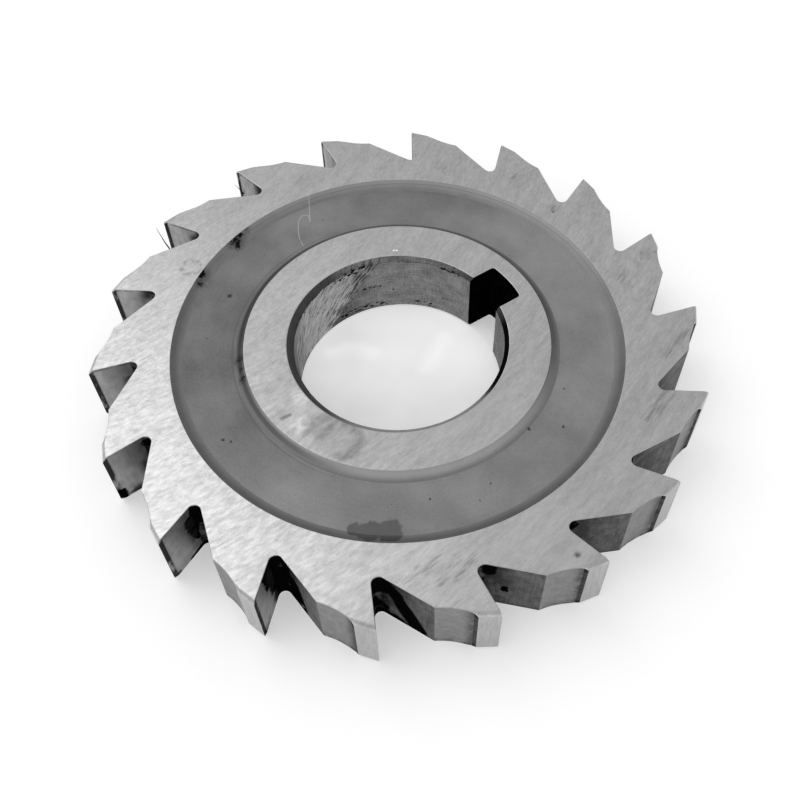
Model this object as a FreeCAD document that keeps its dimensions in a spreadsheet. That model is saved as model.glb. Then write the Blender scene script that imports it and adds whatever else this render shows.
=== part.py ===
"""Slotting cutter, the solid disc kind that mills keyways and slots on an arbor.

One piece of tool steel: a disc with eighteen straight teeth round its edge, a shallow
turned recess in each side between the hub and the rim, and a keyed bore.
"""
import FreeCAD, Part
import math
import os

import Sketcher
from FreeCAD import Vector

# Driving sizes, in millimetres and degrees. The cutter is symmetric about its middle
# plane, so each size of a side holds for both sides.
SIZES = {
    # The disc
    "outer_diameter": 80.0,
    "cutter_width": 10.0,
    "bore_diameter": 27.0,
    "bore_chamfer": 1.0,
    "hub_diameter": 40.0,
    "rim_inner_diameter": 59.0,
    "recess_depth": 0.9,
    "rim_wall_angle": 31.0,
    "hub_wall_angle": 36.0,
    "recess_corner_radius": 0.3,
    # The side faces of the rim are ground a little hollow, so that only the tips rub
    "side_relief_angle": 0.5,
    # The keyway, along +X
    "keyway_width": 6.0,
    "keyway_depth": 4.25,
    "keyway_corner_radius": 0.7,
    # The teeth
    "tooth_count": 18,
    "first_tooth_angle": 14.0,
    "rake_angle": 9.8,
    "edge_land": 0.08,
    "relief_angle": 15.5,
    "relief_width": 2.6,
    "tooth_corner_chamfer": 0.45,
    "step_angle": 52.0,
    "step_width": 0.55,
    "back_angle": 25.4,
    "back_width": 4.4,
    "back_hollow_radius": 11.0,
    "gullet_depth": 6.3,
    "gullet_radius": 0.82,
    # How far the cutting outline of a gap reaches past the disc
    "cut_margin": 2.0,
}

NODE = "slotting_cutter"
ORIGIN = (-1, 1)
X_AXIS = -1


def make_sheet(doc):
    """The spreadsheet that holds every driving size under its own alias."""
    sheet = doc.addObject("Spreadsheet::Sheet", "Sizes")
    for row, (alias, value) in enumerate(SIZES.items(), start=1):
        sheet.set(f"A{row}", alias)
        sheet.set(f"B{row}", str(value))
        sheet.setAlias(f"B{row}", alias)
    doc.recompute()
    return sheet


def polar(radius, angle):
    """The point at a radius and an angle in degrees."""
    turn = math.radians(angle)
    return Vector(radius * math.cos(turn), radius * math.sin(turn), 0)


def direction(angle):
    """The unit vector at an angle in degrees."""
    return polar(1.0, angle)


def arc(centre, start, end):
    """The arc from start to end, anticlockwise round centre."""
    radius = (start - centre).Length
    first = math.atan2(start.y - centre.y, start.x - centre.x)
    last = math.atan2(end.y - centre.y, end.x - centre.x)
    if last < first:
        last += 2 * math.pi
    circle = Part.Circle(centre, Vector(0, 0, 1), radius)
    return Part.ArcOfCircle(circle, first, last)


def origin_item(body, role):
    """One of the body's own origin planes or axes."""
    items = [item for item in body.Origin.OriginFeatures if item.Role == role]
    return items[0]


def new_sketch(body, name, plane):
    """An empty sketch on one of the body's origin planes."""
    sketch = body.newObject("Sketcher::SketchObject", name)
    sketch.AttachmentSupport = [(origin_item(body, plane), "")]
    sketch.MapMode = "FlatFace"
    return sketch


def bind(sketch, name, kind, *where, value, formula):
    """A named dimension that a formula in the sheet's sizes drives."""
    index = sketch.addConstraint(Sketcher.Constraint(kind, *where, value))
    sketch.renameConstraint(index, name)
    sketch.setExpression(f"Constraints.{name}", formula)


def join(sketch, kind, first, second):
    """Ties the end of one edge to the start of the next, smoothly if kind is Tangent."""
    sketch.addConstraint(Sketcher.Constraint(kind, *first, *second))


def make_section(body, sheet):
    """The upper half of the disc's section, from the bore out to the tooth tips."""
    half = sheet.cutter_width / 2
    bore = sheet.bore_diameter / 2
    hub = sheet.hub_diameter / 2
    rim = sheet.rim_inner_diameter / 2
    tip = sheet.outer_diameter / 2
    chamfer = sheet.bore_chamfer
    radius = sheet.recess_corner_radius
    hub_slope = sheet.hub_wall_angle
    rim_slope = sheet.rim_wall_angle
    floor = half - sheet.recess_depth

    # The rim face falls away from the tips, so the recess edge lies a little lower
    rim_top = half - (tip - rim) * math.tan(math.radians(sheet.side_relief_angle))

    # Each wall meets the floor in a corner of the same radius
    hub_tangent = radius * math.tan(math.radians(hub_slope / 2))
    rim_tangent = radius * math.tan(math.radians(rim_slope / 2))
    hub_foot = hub + (half - floor) / math.tan(math.radians(hub_slope))
    rim_foot = rim - (rim_top - floor) / math.tan(math.radians(rim_slope))
    hub_wall_end = Vector(hub_foot, floor, 0) + direction(180 - hub_slope) * hub_tangent
    rim_wall_end = Vector(rim_foot, floor, 0) + direction(rim_slope) * rim_tangent
    hub_floor_end = Vector(hub_foot + hub_tangent, floor, 0)
    rim_floor_end = Vector(rim_foot - rim_tangent, floor, 0)
    hub_centre = hub_floor_end + Vector(0, radius, 0)
    rim_centre = rim_floor_end + Vector(0, radius, 0)

    sketch = new_sketch(body, "SectionSketch", "XZ_Plane")
    bore_wall, bore_cut, hub_face, hub_wall, hub_arc, recess_floor = range(6)
    rim_arc, rim_wall, rim_face, tip_line, middle = range(6, 11)
    sketch.addGeometry([
        Part.LineSegment(Vector(bore, 0, 0), Vector(bore, half - chamfer, 0)),
        Part.LineSegment(Vector(bore, half - chamfer, 0), Vector(bore + chamfer, half, 0)),
        Part.LineSegment(Vector(bore + chamfer, half, 0), Vector(hub, half, 0)),
        Part.LineSegment(hub_wall_end, Vector(hub, half, 0)),
        arc(hub_centre, hub_wall_end, hub_floor_end),
        Part.LineSegment(hub_floor_end, rim_floor_end),
        arc(rim_centre, rim_floor_end, rim_wall_end),
        Part.LineSegment(rim_wall_end, Vector(rim, rim_top, 0)),
        Part.LineSegment(Vector(rim, rim_top, 0), Vector(tip, half, 0)),
        Part.LineSegment(Vector(tip, half, 0), Vector(tip, 0, 0)),
        Part.LineSegment(Vector(tip, 0, 0), Vector(bore, 0, 0)),
    ])

    join(sketch, "Coincident", (bore_wall, 2), (bore_cut, 1))
    join(sketch, "Coincident", (bore_cut, 2), (hub_face, 1))
    join(sketch, "Coincident", (hub_face, 2), (hub_wall, 2))
    join(sketch, "Tangent", (hub_wall, 1), (hub_arc, 1))
    join(sketch, "Tangent", (hub_arc, 2), (recess_floor, 1))
    join(sketch, "Tangent", (recess_floor, 2), (rim_arc, 1))
    join(sketch, "Tangent", (rim_arc, 2), (rim_wall, 1))
    join(sketch, "Coincident", (rim_wall, 2), (rim_face, 1))
    join(sketch, "Coincident", (rim_face, 2), (tip_line, 1))
    join(sketch, "Coincident", (tip_line, 2), (middle, 1))
    join(sketch, "Coincident", (middle, 2), (bore_wall, 1))
    for edge in (bore_wall, tip_line):
        sketch.addConstraint(Sketcher.Constraint("Vertical", edge))
    for edge in (hub_face, recess_floor, middle):
        sketch.addConstraint(Sketcher.Constraint("Horizontal", edge))
    sketch.addConstraint(Sketcher.Constraint("PointOnObject", bore_wall, 1, X_AXIS))
    sketch.addConstraint(Sketcher.Constraint("Equal", hub_arc, rim_arc))

    bind(sketch, "bore_radius", "DistanceX", *ORIGIN, bore_wall, 1,
         value=bore, formula="Sizes.bore_diameter / 2")
    bind(sketch, "bore_chamfer_out", "DistanceX", bore_cut, 1, bore_cut, 2,
         value=chamfer, formula="Sizes.bore_chamfer")
    bind(sketch, "bore_chamfer_up", "DistanceY", bore_cut, 1, bore_cut, 2,
         value=chamfer, formula="Sizes.bore_chamfer")
    bind(sketch, "half_width", "DistanceY", *ORIGIN, hub_face, 1,
         value=half, formula="Sizes.cutter_width / 2")
    bind(sketch, "hub_radius", "DistanceX", *ORIGIN, hub_face, 2,
         value=hub, formula="Sizes.hub_diameter / 2")
    bind(sketch, "hub_wall_angle", "Angle", hub_wall,
         value=math.radians(180 - hub_slope), formula="180 - Sizes.hub_wall_angle")
    bind(sketch, "corner_radius", "Radius", hub_arc,
         value=radius, formula="Sizes.recess_corner_radius")
    bind(sketch, "recess_floor_height", "DistanceY", *ORIGIN, recess_floor, 1,
         value=floor, formula="Sizes.cutter_width / 2 - Sizes.recess_depth")
    bind(sketch, "rim_wall_angle", "Angle", rim_wall,
         value=math.radians(rim_slope), formula="Sizes.rim_wall_angle")
    bind(sketch, "rim_inner_radius", "DistanceX", *ORIGIN, rim_wall, 2,
         value=rim, formula="Sizes.rim_inner_diameter / 2")
    bind(sketch, "rim_face_angle", "Angle", rim_face,
         value=math.radians(sheet.side_relief_angle), formula="Sizes.side_relief_angle")
    bind(sketch, "rim_half_width", "DistanceY", *ORIGIN, rim_face, 2,
         value=half, formula="Sizes.cutter_width / 2")
    bind(sketch, "tip_radius", "DistanceX", *ORIGIN, tip_line, 1,
         value=tip, formula="Sizes.outer_diameter / 2")
    return sketch


def make_gap_sketch(body, sheet):
    """The space between two teeth, drawn with the leading tooth's edge on the X axis.

    From that edge the back falls away clockwise in three stages: the ground relief, a
    hollow back below a small step, and a steep flat down into the gullet. The gullet's
    radius runs into the undercut rake face of the next tooth.
    """
    tip = sheet.outer_diameter / 2
    pitch = 360 / sheet.tooth_count
    land = math.degrees(sheet.edge_land / tip)
    rake = sheet.rake_angle - pitch
    radius = sheet.gullet_radius
    root = tip - sheet.gullet_depth + radius
    clockwise = -90

    relief_start = polar(tip, -land)
    relief_end = relief_start + direction(clockwise - sheet.relief_angle) * sheet.relief_width
    step_end = relief_end + direction(clockwise - sheet.step_angle) * sheet.step_width
    knee = step_end + direction(clockwise - sheet.back_angle) * sheet.back_width
    sag = math.sqrt(sheet.back_hollow_radius ** 2 - (sheet.back_width / 2) ** 2)
    hollow_centre = (step_end + knee) * 0.5 + direction(-sheet.back_angle) * sag

    # The gullet's centre lies one radius off the rake face, at its own depth
    next_edge = polar(tip, -pitch)
    offset = next_edge + direction(rake + 90) * radius
    along = offset.dot(direction(rake))
    slide = along - math.sqrt(along ** 2 - offset.Length ** 2 + root ** 2)
    centre = offset - direction(rake) * slide
    rake_foot = centre - direction(rake + 90) * radius

    # The steep flat leaves the knee on the line that just touches the gullet's arc
    reach = centre - knee
    turn = math.degrees(math.atan2(reach.y, reach.x) - math.asin(radius / reach.Length))
    flat_end = knee + direction(turn) * math.sqrt(reach.Length ** 2 - radius ** 2)

    margin = sheet.cut_margin
    outer_start = polar(tip + margin, -land)
    outer_end = polar(tip + margin, -pitch)

    sketch = new_sketch(body, "GapSketch", "XY_Plane")
    sketch.AttachmentOffset = FreeCAD.Placement(
        Vector(), FreeCAD.Rotation(Vector(0, 0, 1), sheet.first_tooth_angle))
    sketch.setExpression("AttachmentOffset.Rotation.Angle", "Sizes.first_tooth_angle")
    relief, step, back, flat, gullet, rake_face, rise, outside, fall = range(9)
    sketch.addGeometry([
        Part.LineSegment(relief_start, relief_end),
        Part.LineSegment(relief_end, step_end),
        arc(hollow_centre, step_end, knee),
        Part.LineSegment(knee, flat_end),
        arc(centre, flat_end, rake_foot),
        Part.LineSegment(rake_foot, next_edge),
        Part.LineSegment(next_edge, outer_end),
        Part.LineSegment(outer_end, outer_start),
        Part.LineSegment(outer_start, relief_start),
    ])
    first_spoke, next_spoke, chord = range(9, 12)
    sketch.addGeometry([
        Part.LineSegment(Vector(), relief_start),
        Part.LineSegment(Vector(), next_edge),
        Part.LineSegment(step_end, knee),
    ], True)

    join(sketch, "Coincident", (relief, 2), (step, 1))
    join(sketch, "Coincident", (step, 2), (back, 1))
    join(sketch, "Coincident", (back, 2), (flat, 1))
    join(sketch, "Tangent", (flat, 2), (gullet, 1))
    join(sketch, "Tangent", (gullet, 2), (rake_face, 1))
    join(sketch, "Coincident", (rake_face, 2), (rise, 1))
    join(sketch, "Coincident", (rise, 2), (outside, 1))
    join(sketch, "Coincident", (outside, 2), (fall, 1))
    join(sketch, "Coincident", (fall, 2), (relief, 1))
    join(sketch, "Coincident", (first_spoke, 1), ORIGIN)
    join(sketch, "Coincident", (first_spoke, 2), (relief, 1))
    join(sketch, "Coincident", (next_spoke, 1), ORIGIN)
    join(sketch, "Coincident", (next_spoke, 2), (rake_face, 2))
    join(sketch, "Coincident", (chord, 1), (back, 1))
    join(sketch, "Coincident", (chord, 2), (back, 2))

    bind(sketch, "first_radius", "Distance", first_spoke,
         value=tip, formula="Sizes.outer_diameter / 2")
    bind(sketch, "first_angle", "Angle", first_spoke, value=math.radians(-land),
         formula="-Sizes.edge_land / (Sizes.outer_diameter / 2) * 180 / pi")
    bind(sketch, "next_radius", "Distance", next_spoke,
         value=tip, formula="Sizes.outer_diameter / 2")
    bind(sketch, "next_angle", "Angle", next_spoke,
         value=math.radians(-pitch), formula="-360 / Sizes.tooth_count")
    bind(sketch, "relief_angle", "Angle", relief,
         value=math.radians(clockwise - sheet.relief_angle),
         formula="-90 - Sizes.relief_angle")
    bind(sketch, "relief_width", "Distance", relief,
         value=sheet.relief_width, formula="Sizes.relief_width")
    bind(sketch, "step_angle", "Angle", step,
         value=math.radians(clockwise - sheet.step_angle), formula="-90 - Sizes.step_angle")
    bind(sketch, "step_width", "Distance", step,
         value=sheet.step_width, formula="Sizes.step_width")
    bind(sketch, "back_angle", "Angle", chord,
         value=math.radians(clockwise - sheet.back_angle), formula="-90 - Sizes.back_angle")
    bind(sketch, "back_width", "Distance", chord,
         value=sheet.back_width, formula="Sizes.back_width")
    bind(sketch, "back_hollow", "Radius", back,
         value=sheet.back_hollow_radius, formula="Sizes.back_hollow_radius")
    bind(sketch, "gullet_radius", "Radius", gullet,
         value=radius, formula="Sizes.gullet_radius")
    bind(sketch, "gullet_place", "Distance", *ORIGIN, gullet, 3, value=root,
         formula="Sizes.outer_diameter / 2 - Sizes.gullet_depth + Sizes.gullet_radius")
    bind(sketch, "rake_direction", "Angle", rake_face,
         value=math.radians(rake), formula="Sizes.rake_angle - 360 / Sizes.tooth_count")
    bind(sketch, "rise_angle", "Angle", rise,
         value=math.radians(-pitch), formula="-360 / Sizes.tooth_count")
    bind(sketch, "rise_length", "Distance", rise,
         value=margin, formula="Sizes.cut_margin")
    bind(sketch, "fall_angle", "Angle", fall, value=math.radians(180 - land),
         formula="180 - Sizes.edge_land / (Sizes.outer_diameter / 2) * 180 / pi")
    bind(sketch, "fall_length", "Distance", fall,
         value=margin, formula="Sizes.cut_margin")
    return sketch


def make_corner_sketch(body, sheet):
    """Both corners of a tooth's relief, seen along the relief from a plane on the axis.

    The plane is turned so that the relief runs square to it. Each triangle takes off one
    corner and reaches past the disc by the cut margin on its two other sides.
    """
    margin = sheet.cut_margin
    land = math.degrees(sheet.edge_land / (sheet.outer_diameter / 2))
    face = sheet.outer_diameter / 2 * math.cos(math.radians(sheet.relief_angle - land))
    out = face + margin
    up = sheet.cutter_width / 2 + margin
    leg = sheet.tooth_corner_chamfer + 2 * margin

    sketch = new_sketch(body, "CornerSketch", "XZ_Plane")
    turn = sheet.first_tooth_angle - sheet.relief_angle
    sketch.AttachmentOffset = FreeCAD.Placement(
        Vector(), FreeCAD.Rotation(Vector(0, 1, 0), turn))
    sketch.setExpression("AttachmentOffset.Rotation.Angle",
                         "Sizes.first_tooth_angle - Sizes.relief_angle")
    top, side, slope, low_top, low_side, low_slope = range(6)
    for sign in (1, -1):
        tip, inner = Vector(out, sign * up, 0), Vector(out - leg, sign * up, 0)
        lower = Vector(out, sign * (up - leg), 0)
        sketch.addGeometry([
            Part.LineSegment(inner, tip),
            Part.LineSegment(tip, lower),
            Part.LineSegment(lower, inner),
        ])

    for first, second, third in ((top, side, slope), (low_top, low_side, low_slope)):
        join(sketch, "Coincident", (first, 2), (second, 1))
        join(sketch, "Coincident", (second, 2), (third, 1))
        join(sketch, "Coincident", (third, 2), (first, 1))
    for edge, low_edge in ((top, low_top), (side, low_side), (slope, low_slope)):
        sketch.addConstraint(Sketcher.Constraint("Symmetric", edge, 1, low_edge, 1, X_AXIS))
    sketch.addConstraint(Sketcher.Constraint("Horizontal", top))
    sketch.addConstraint(Sketcher.Constraint("Vertical", side))
    sketch.addConstraint(Sketcher.Constraint("Equal", top, side))

    bind(sketch, "reach_out", "DistanceX", *ORIGIN, top, 2, value=out,
         formula="Sizes.outer_diameter / 2 * cos(Sizes.relief_angle"
                 " - Sizes.edge_land / (Sizes.outer_diameter / 2) * 180 / pi)"
                 " + Sizes.cut_margin")
    bind(sketch, "reach_up", "DistanceY", *ORIGIN, top, 2,
         value=up, formula="Sizes.cutter_width / 2 + Sizes.cut_margin")
    bind(sketch, "leg", "Distance", top,
         value=leg, formula="Sizes.tooth_corner_chamfer + 2 * Sizes.cut_margin")
    return sketch


def make_keyway_sketch(body, sheet):
    """The keyway, from inside the bore out to its floor, with rounded floor corners."""
    side = sheet.keyway_width / 2
    floor = sheet.bore_diameter / 2 + sheet.keyway_depth
    start = sheet.bore_diameter / 4
    radius = sheet.keyway_corner_radius

    sketch = new_sketch(body, "KeywaySketch", "XY_Plane")
    right, right_corner, bottom, left_corner, left, mouth = range(6)
    sketch.addGeometry([
        Part.LineSegment(Vector(start, -side, 0), Vector(floor - radius, -side, 0)),
        arc(Vector(floor - radius, radius - side, 0),
            Vector(floor - radius, -side, 0), Vector(floor, radius - side, 0)),
        Part.LineSegment(Vector(floor, radius - side, 0), Vector(floor, side - radius, 0)),
        arc(Vector(floor - radius, side - radius, 0),
            Vector(floor, side - radius, 0), Vector(floor - radius, side, 0)),
        Part.LineSegment(Vector(floor - radius, side, 0), Vector(start, side, 0)),
        Part.LineSegment(Vector(start, side, 0), Vector(start, -side, 0)),
    ])

    join(sketch, "Tangent", (right, 2), (right_corner, 1))
    join(sketch, "Tangent", (right_corner, 2), (bottom, 1))
    join(sketch, "Tangent", (bottom, 2), (left_corner, 1))
    join(sketch, "Tangent", (left_corner, 2), (left, 1))
    join(sketch, "Coincident", (left, 2), (mouth, 1))
    join(sketch, "Coincident", (mouth, 2), (right, 1))
    for edge in (right, left):
        sketch.addConstraint(Sketcher.Constraint("Horizontal", edge))
    sketch.addConstraint(Sketcher.Constraint("Vertical", bottom))
    sketch.addConstraint(Sketcher.Constraint("Symmetric", right, 1, left, 2, X_AXIS))
    sketch.addConstraint(Sketcher.Constraint("Equal", right_corner, left_corner))

    bind(sketch, "keyway_width", "DistanceY", right, 1, left, 2,
         value=2 * side, formula="Sizes.keyway_width")
    bind(sketch, "keyway_floor", "DistanceX", *ORIGIN, bottom, 1,
         value=floor, formula="Sizes.bore_diameter / 2 + Sizes.keyway_depth")
    bind(sketch, "keyway_start", "DistanceX", *ORIGIN, mouth, 1,
         value=start, formula="Sizes.bore_diameter / 4")
    bind(sketch, "keyway_corner", "Radius", right_corner,
         value=radius, formula="Sizes.keyway_corner_radius")
    return sketch


def cut_through(body, name, sketch, sides="Symmetric"):
    """A cut right through from the sketch, both ways or one way."""
    before = body.Shape.Volume
    cut = body.newObject("PartDesign::Pocket", name)
    cut.Profile = sketch
    cut.SideType = sides
    cut.Type = "ThroughAll"
    body.Tip = cut
    body.Document.recompute()
    if cut.Shape.Volume >= before:
        raise RuntimeError(f"{name} removes nothing")
    return cut


def make_cutter(doc, sheet):
    """The whole cutter: half a disc turned and mirrored, then keyed and toothed."""
    body = doc.addObject("PartDesign::Body", "Cutter")
    body.Label = NODE

    # The middle plane of the disc is half a width above the surface that it lies on
    body.Placement.Base.z = sheet.cutter_width / 2
    body.setExpression("Placement.Base.z", "Sizes.cutter_width / 2")

    section = make_section(body, sheet)
    turned = body.newObject("PartDesign::Revolution", "HalfDisc")
    turned.Profile = section
    turned.ReferenceAxis = (section, ["V_Axis"])
    turned.Angle = 360
    doc.recompute()

    disc = body.newObject("PartDesign::Mirrored", "Disc")
    disc.Originals = [turned]
    disc.MirrorPlane = (origin_item(body, "XY_Plane"), [""])
    body.Tip = disc
    doc.recompute()

    cut_through(body, "Keyway", make_keyway_sketch(body, sheet))

    gap = cut_through(body, "ToothGap", make_gap_sketch(body, sheet))
    corners = cut_through(body, "ToothCorners", make_corner_sketch(body, sheet), "One side")
    teeth = body.newObject("PartDesign::PolarPattern", "Teeth")
    teeth.Originals = [gap, corners]
    teeth.Axis = (origin_item(body, "Z_Axis"), [""])
    teeth.Angle = 360
    teeth.setExpression("Occurrences", "Sizes.tooth_count")
    body.Tip = teeth
    doc.recompute()
    return body


def check(doc, body):
    """Stops unless every feature was made and the cutter is one valid solid."""
    for item in doc.Objects:
        if "Invalid" in item.State or "Error" in item.State:
            raise RuntimeError(f"{item.Name} failed: {item.State}")
    for item in doc.Objects:
        if item.TypeId == "Sketcher::SketchObject" and item.solve() != 0:
            raise RuntimeError(f"{item.Name} is not solved")
    shape = body.Shape
    if shape.isNull() or not shape.isValid() or len(shape.Solids) != 1:
        raise RuntimeError(f"{body.Label} is not one valid solid")


def main():
    doc = FreeCAD.newDocument("slotting_cutter")
    sheet = make_sheet(doc)
    body = make_cutter(doc, sheet)
    check(doc, body)
    os.makedirs("parts", exist_ok=True)
    body.Shape.exportStep(f"parts/{body.Label}.step")
    box = body.Shape.BoundBox
    print(f"{body.Label}: {body.Shape.Volume:.0f} mm3, {len(body.Shape.Faces)} faces, "
          f"{box.XLength:.2f} x {box.YLength:.2f} x {box.ZLength:.2f} mm")


main()
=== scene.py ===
"""The dressed slotting cutter: ground, turned and stained steel on a plain pale floor."""
import math

import bmesh
import bpy
from mathutils import Matrix, Vector, noise
from mathutils.geometry import delaunay_2d_cdt


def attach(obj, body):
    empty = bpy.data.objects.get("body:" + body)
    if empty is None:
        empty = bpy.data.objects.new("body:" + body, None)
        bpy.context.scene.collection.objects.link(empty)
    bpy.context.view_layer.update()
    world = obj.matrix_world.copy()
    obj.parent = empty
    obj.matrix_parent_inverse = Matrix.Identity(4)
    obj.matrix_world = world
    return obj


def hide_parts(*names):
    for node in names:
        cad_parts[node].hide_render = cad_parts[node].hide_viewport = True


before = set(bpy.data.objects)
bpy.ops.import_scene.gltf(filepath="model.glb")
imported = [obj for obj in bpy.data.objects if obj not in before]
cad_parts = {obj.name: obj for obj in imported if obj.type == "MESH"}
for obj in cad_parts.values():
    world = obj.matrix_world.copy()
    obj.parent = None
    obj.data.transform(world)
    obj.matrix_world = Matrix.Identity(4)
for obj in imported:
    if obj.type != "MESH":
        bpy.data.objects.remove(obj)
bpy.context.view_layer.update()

NODE = "slotting_cutter"
MM = 0.001

# The cutter's sizes in millimetres and degrees, as in the solid model
TIP_RADIUS = 40.0
HALF_WIDTH = 5.0
HUB_RADIUS = 20.0
RIM_RADIUS = 29.5
RECESS_DEPTH = 0.9
RIM_WALL, HUB_WALL = 31.0, 36.0
RECESS_CORNER = 0.3
SIDE_RELIEF = 0.5
TEETH = 18
FIRST_TOOTH = 14.0
PITCH = 360.0 / TEETH
RAKE = 9.8
RELIEF_ANGLE, RELIEF_WIDTH = 15.5, 2.6
STEP_ANGLE, STEP_WIDTH = 52.0, 0.55
BACK_ANGLE, BACK_WIDTH, BACK_HOLLOW = 25.4, 4.4, 11.0
GULLET_DEPTH, GULLET_RADIUS = 6.3, 0.82

# The bore, worn a little to one side, with its chamfer's mouths in the upper (1) and the lower
# (-1) hub face, each a radius and a centre, and the keyway with its crowned floor
BORE_RADIUS, BORE_CENTRE = 13.76, Vector((0.25, -0.12))
MOUTHS = {1: (14.48, Vector((0.055, -0.125))), -1: (14.05, Vector((0.435, -0.227)))}
KEYWAY_HALF, KEYWAY_MIDDLE = 3.04, -0.15
KEYWAY_FLOOR, KEYWAY_CROWN = 17.85, 0.22
KEYWAY_CORNER = 0.45
KEYWAY_CHAMFER = 0.4

# How far the rounded corners of the tooth tips, the teeth's edges and the turned edges are
# broken, and the flat strip round the bore's mouths, which keeps the shading there even
TIP_CORNER = 0.6
EDGE = 0.09
TURNED_EDGE = 0.05
MOUTH_STRIP = 3 * TURNED_EDGE

# Segments in a full circle and those that the keyway takes out of it; segments of each corner
# of the keyway's floor and of the floor between them, and all that the keyway puts in
ROUND = 360
KEYWAY_GAP = 24
CORNER_STEPS, CROWN_STEPS = 5, 7
KEYWAY_STEPS = 2 * CORNER_STEPS + CROWN_STEPS + 6

# The angle above which the mesh's edges look sharp
SHARP_ANGLE = 28

# Points on the lines of two fine burrs that stand up from the cutting edges, and their radius
# at the foot
BURRS = (
    ((-16.60, 36.30, 4.6), (-16.90, 36.65, 5.8), (-17.10, 36.96, 7.0), (-17.26, 37.80, 8.0)),
    ((-2.20, 39.15, 4.8), (-2.60, 39.05, 5.8), (-3.10, 38.90, 7.0), (-3.55, 39.25, 8.0)),
)
BURR_RADIUS = 0.11

# The camera, in millimetres and degrees, and the lens in millimetres
CAMERA_PLACE = Vector((-41.787, -70.059, 114.511))
CAMERA_AIM = Vector((-4.967, -8.462, 10.0))
CAMERA_ROLL = -2.43
CAMERA_LENS = 45.72

# The floor's half width in metres, its gap below the cutter in millimetres, its tone and glow,
# and the lines in millimetres where light that the bore throws is painted on it
FLOOR_REACH = 3.0
FLOOR_GAP = 0.05
FLOOR_TONE = 0.8
FLOOR_GLOW = 0.37
BORE_LIGHT = (
    (-5.1, 9.8, -3.2, 9.5), (-3.2, 9.5, -1.1, 7.9), (-1.1, 7.9, -0.4, 6.4),
    (9.7, 3.1, 7.4, 1.5), (7.4, 1.5, 4.4, 0.0),
)

# Azimuths that point up and to the right in the camera's picture, in degrees
PICTURE_UP, PICTURE_RIGHT = 59, -31

# The soft light: azimuth and elevation in degrees, distance and size in millimetres, radiance;
# and the strength of the even light from all round
KEY_LIGHT = {"azimuth": 112, "elevation": 57, "distance": 600, "size": 420, "radiance": 1.35}
WORLD_LIGHT = 0.7

# The tone of matt black, which stands for dirt and in places for painted shade, and a distance
# beyond the reach of every mark
DIRT_AND_SHADE_TONE = 0.004
FAR = 9.0


def polar(radius, angle):
    turn = math.radians(angle)
    return Vector((radius * math.cos(turn), radius * math.sin(turn)))


def spread(start, end, shares):
    """Points on a straight stretch, at the given shares of its length."""
    return [start.lerp(end, share) for share in shares]


def arc(centre, start, end, count):
    """Points from start round centre to end, anticlockwise, without the last one."""
    radius = (start - centre).length
    first = math.atan2(start.y - centre.y, start.x - centre.x)
    last = math.atan2(end.y - centre.y, end.x - centre.x)
    if last < first:
        last += 2 * math.pi
    turns = [first + (last - first) * step / count for step in range(count)]
    return [centre + Vector((math.cos(turn), math.sin(turn))) * radius for turn in turns]


def tooth_outline():
    """One tooth gap, from an edge on the X axis clockwise to just before the next edge.

    Each entry is a point, the name of the surface that starts there, how far the side
    face's edge is broken there and which way.
    """
    edge = polar(TIP_RADIUS, 0)
    relief_end = edge + polar(RELIEF_WIDTH, -90 - RELIEF_ANGLE)
    step_end = relief_end + polar(STEP_WIDTH, -90 - STEP_ANGLE)
    knee = step_end + polar(BACK_WIDTH, -90 - BACK_ANGLE)
    sag = math.sqrt(BACK_HOLLOW ** 2 - (BACK_WIDTH / 2) ** 2)
    hollow = (step_end + knee) / 2 + polar(sag, -BACK_ANGLE)

    next_edge = polar(TIP_RADIUS, -PITCH)
    rake = RAKE - PITCH
    offset = next_edge + polar(GULLET_RADIUS, rake + 90)
    along = offset.dot(polar(1, rake))
    root = TIP_RADIUS - GULLET_DEPTH + GULLET_RADIUS
    centre = offset - polar(along - math.sqrt(along ** 2 - offset.length ** 2 + root ** 2), rake)
    foot = centre - polar(GULLET_RADIUS, rake + 90)
    reach = centre - knee
    turn = math.atan2(reach.y, reach.x) - math.asin(GULLET_RADIUS / reach.length)
    flat_length = math.sqrt(reach.length ** 2 - GULLET_RADIUS ** 2)
    flat_end = knee + polar(flat_length, math.degrees(turn))

    # The rake face ends where the next tooth's rounded corner starts
    inward = polar(1, 180 - RELIEF_ANGLE)
    wedge = math.radians(90 - RAKE - RELIEF_ANGLE)
    corner = next_edge - polar(TIP_CORNER / math.sin(wedge), rake)
    stretches = (
        ("land", spread(edge, relief_end, (0, 0.28, 0.5, 0.75))),
        ("step", spread(relief_end, step_end, (0, 0.5))),
        ("back", arc(hollow, step_end, knee, 10)),
        ("flat", spread(knee, flat_end, (0, 0.25, 0.5, 0.75))),
        ("gullet", arc(centre, flat_end, foot, 8)),
        ("rake", spread(foot, corner, (0, 0.2, 0.4, 0.6, 0.8, 1))),
    )
    outline = []
    for surface, points in stretches:
        for point in points:
            left = TIP_CORNER - (point - edge).dot(inward)
            on_tip = surface in ("land", "step", "back") and left > EDGE
            outline.append((point, surface, left if on_tip else EDGE, inward if on_tip else None))
    return outline


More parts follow.
